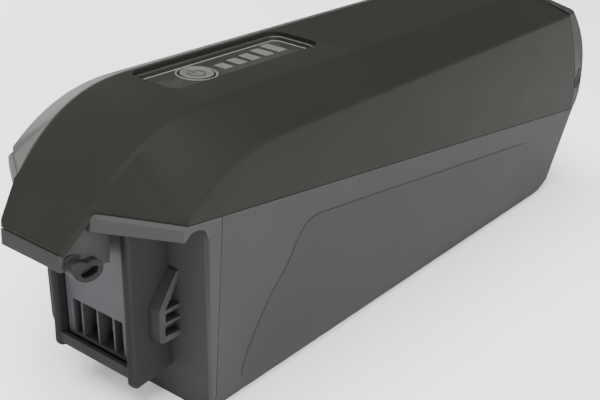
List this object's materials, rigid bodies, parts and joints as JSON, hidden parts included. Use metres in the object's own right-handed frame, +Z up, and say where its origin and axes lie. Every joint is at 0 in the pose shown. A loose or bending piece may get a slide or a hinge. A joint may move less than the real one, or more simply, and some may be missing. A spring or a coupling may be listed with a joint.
{
  "type": "e-bike downtube battery",
  "caption": "Long battery pack for a bicycle downtube: hooded cover over a bevelled shell, front socket under a beak with guide hooks, top display with a power button, charge port and lock bush",
  "frame": {"origin": "Centre of the bounding box in plan, on its bottom face.", "axes": "X runs along the pack from the connector end at -X to the closed rear end at +X; Y runs across it, with the charge port on -Y; Z is up, away from the downtube cradle, with the display on top."},
  "size_m": [0.37, 0.0928, 0.1164],
  "materials": {
    "cover_plastic": "fine satin grain",
    "shell_plastic": "fine matt grain",
    "rear_cap_plastic": "satin",
    "socket_plastic": "matt",
    "contact_brass": "plated",
    "seal_rubber": "soft rubber",
    "flap_rubber": "soft rubber",
    "screw_steel": "zinc plated",
    "bush_steel": "turned",
    "panel_gloss": "semi gloss",
    "bezel_plastic": "satin",
    "ring_trim": "satin silver paint",
    "button_plastic": "satin",
    "light_plastic": "translucent diffuser",
    "board_green": "solder resist",
    "flex_film": "polyimide film",
    "cell_can": "shrink sleeve over a metal can",
    "holder_plastic": "moulded",
    "nickel": "bare nickel",
    "sheet_card": "fish paper",
    "chip_black": "epoxy",
    "heat_sink_metal": "extruded",
    "capacitor_sleeve": "sleeve",
    "shunt_metal": "bare metal",
    "fuse_amber": "translucent",
    "lead_red": "silicone insulation",
    "lead_black": "silicone insulation"
  },
  "bodies": {
    "pack": {"top_cover": "cover_plastic", "lower_shell": "shell_plastic", "end_cap": "shell_plastic", "rear_cap": "rear_cap_plastic", "socket_housing": "socket_plastic", "power_contacts": "contact_brass", "signal_contacts": "contact_brass", "socket_gasket": "seal_rubber", "socket_screws": "screw_steel", "display_panel": "panel_gloss", "display_bezel": "bezel_plastic", "button_ring": "ring_trim", "tact_switch": "button_plastic", "light_bars": "light_plastic", "state_leds": "light_plastic", "display_board": "board_green", "display_screws": "screw_steel", "display_cable": "flex_film", "cells": "cell_can", "left_cell_holder": "holder_plastic", "right_cell_holder": "holder_plastic", "tie_bolts": "screw_steel", "tie_nuts": "screw_steel", "left_nickel_strips": "nickel", "right_nickel_strips": "nickel", "left_insulator": "sheet_card", "right_insulator": "sheet_card", "sense_ribbons": "flex_film", "foam_pads": "seal_rubber", "bms_board": "board_green", "bms_screws": "screw_steel", "bms_transistors": "chip_black", "bms_heat_sink": "heat_sink_metal", "bms_capacitors": "capacitor_sleeve", "bms_shunts": "shunt_metal", "bms_chips": "chip_black", "thermistor": "chip_black", "fuse_holder": "holder_plastic", "fuse": "fuse_amber", "positive_lead": "lead_red", "fused_lead": "lead_red", "pack_lead": "lead_black", "negative_lead": "lead_black", "charge_wires": "lead_black", "charge_socket": "socket_plastic", "charge_pin": "contact_brass", "charge_contact": "contact_brass", "flap_hinge_pin": "screw_steel", "lock_bush": "bush_steel", "cover_gasket": "seal_rubber", "end_cap_gasket": "seal_rubber", "cover_screws": "screw_steel", "roof_screws": "screw_steel", "floor_screws": "screw_steel", "rear_cap_screws": "screw_steel", "threaded_inserts": "contact_brass"},
    "button": {"power_button": "button_plastic", "switch_plunger": "light_plastic"},
    "flap": {"charge_port_flap": "flap_rubber"}
  },
  "joints": [
    {"name": "button_press", "type": "slide", "parent": "pack", "child": "button", "axis": [0, 0, -1], "range_m": [0, 0.0008], "stiffness_N_per_m": 600, "springref_m": -0.0003},
    {"name": "flap_hinge", "type": "hinge", "parent": "pack", "child": "flap", "pos_m": [0.1774, -0.04505, 0.0692], "axis": [-1, 0, 0], "range_deg": [0, 100]}
  ]
}
